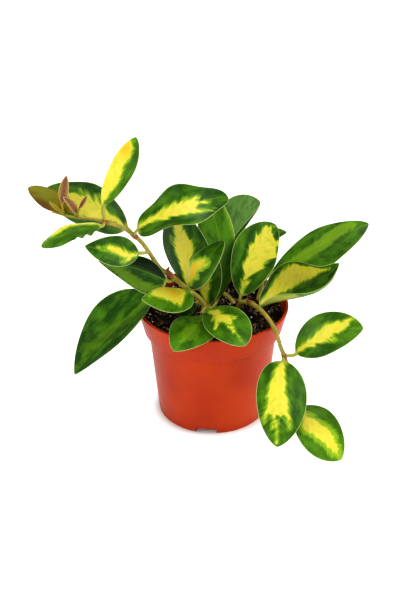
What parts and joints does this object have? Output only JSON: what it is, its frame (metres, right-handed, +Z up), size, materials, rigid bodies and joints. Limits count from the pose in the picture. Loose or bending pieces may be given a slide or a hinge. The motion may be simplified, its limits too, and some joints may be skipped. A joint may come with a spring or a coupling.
{
  "type": "potted variegated hoya plant",
  "caption": "Trailing hoya with thick waxy leaves, green with jagged yellow centres, in a round tapered plastic nursery pot with a deep rim band.",
  "frame": {"origin": "centre of the pot's base, on the surface it stands on", "axes": "+Z up along the pot's axis, +X to the right of the pictured front, +Y away from the viewer"},
  "size_m": [0.2591, 0.1578, 0.2446],
  "materials": {
    "orange_plastic": "satin moulded plastic, terracotta orange",
    "potting_mix": "loose dark peat with bark, coir fibres and perlite",
    "vine_bark": "satin tan and olive stem skin, browner at the nodes",
    "young_growth": "satin reddish brown young growth",
    "young_leaf": "waxy olive brown",
    "variegated_leaf": "waxy green with a jagged yellow centre"
  },
  "bodies": {
    "root": {"pot": "orange_plastic", "soil": "potting_mix", "vine_left": "vine_bark", "vine_right": "vine_bark", "stem_back": "vine_bark", "stem_side_left": "vine_bark", "stem_side_right": "vine_bark", "young_shoot": "young_growth", "leaf_young_olive": "young_leaf", "leaf_far_upright": "variegated_leaf", "leaf_far_drooping": "variegated_leaf", "leaf_high_back": "variegated_leaf", "leaf_high_streaked": "variegated_leaf", "leaf_upper_left": "variegated_leaf", "leaf_middle_folded": "variegated_leaf", "leaf_low_yellow": "variegated_leaf", "leaf_low_upright": "variegated_leaf", "leaf_foot_upright": "variegated_leaf", "leaf_foot_front_right": "variegated_leaf", "leaf_foot_shaded": "variegated_leaf", "leaf_foot_front_left": "variegated_leaf", "leaf_centre_tall": "variegated_leaf", "leaf_side_left_large": "variegated_leaf", "leaf_side_left_upright": "variegated_leaf", "leaf_back_pale": "variegated_leaf", "leaf_side_right_large": "variegated_leaf", "leaf_side_right_small": "variegated_leaf", "leaf_right_upright": "variegated_leaf", "leaf_right_twisted": "variegated_leaf", "leaf_hanging_side": "variegated_leaf", "leaf_hanging_front": "variegated_leaf", "leaf_hanging_low": "variegated_leaf"}
  },
  "joints": []
}
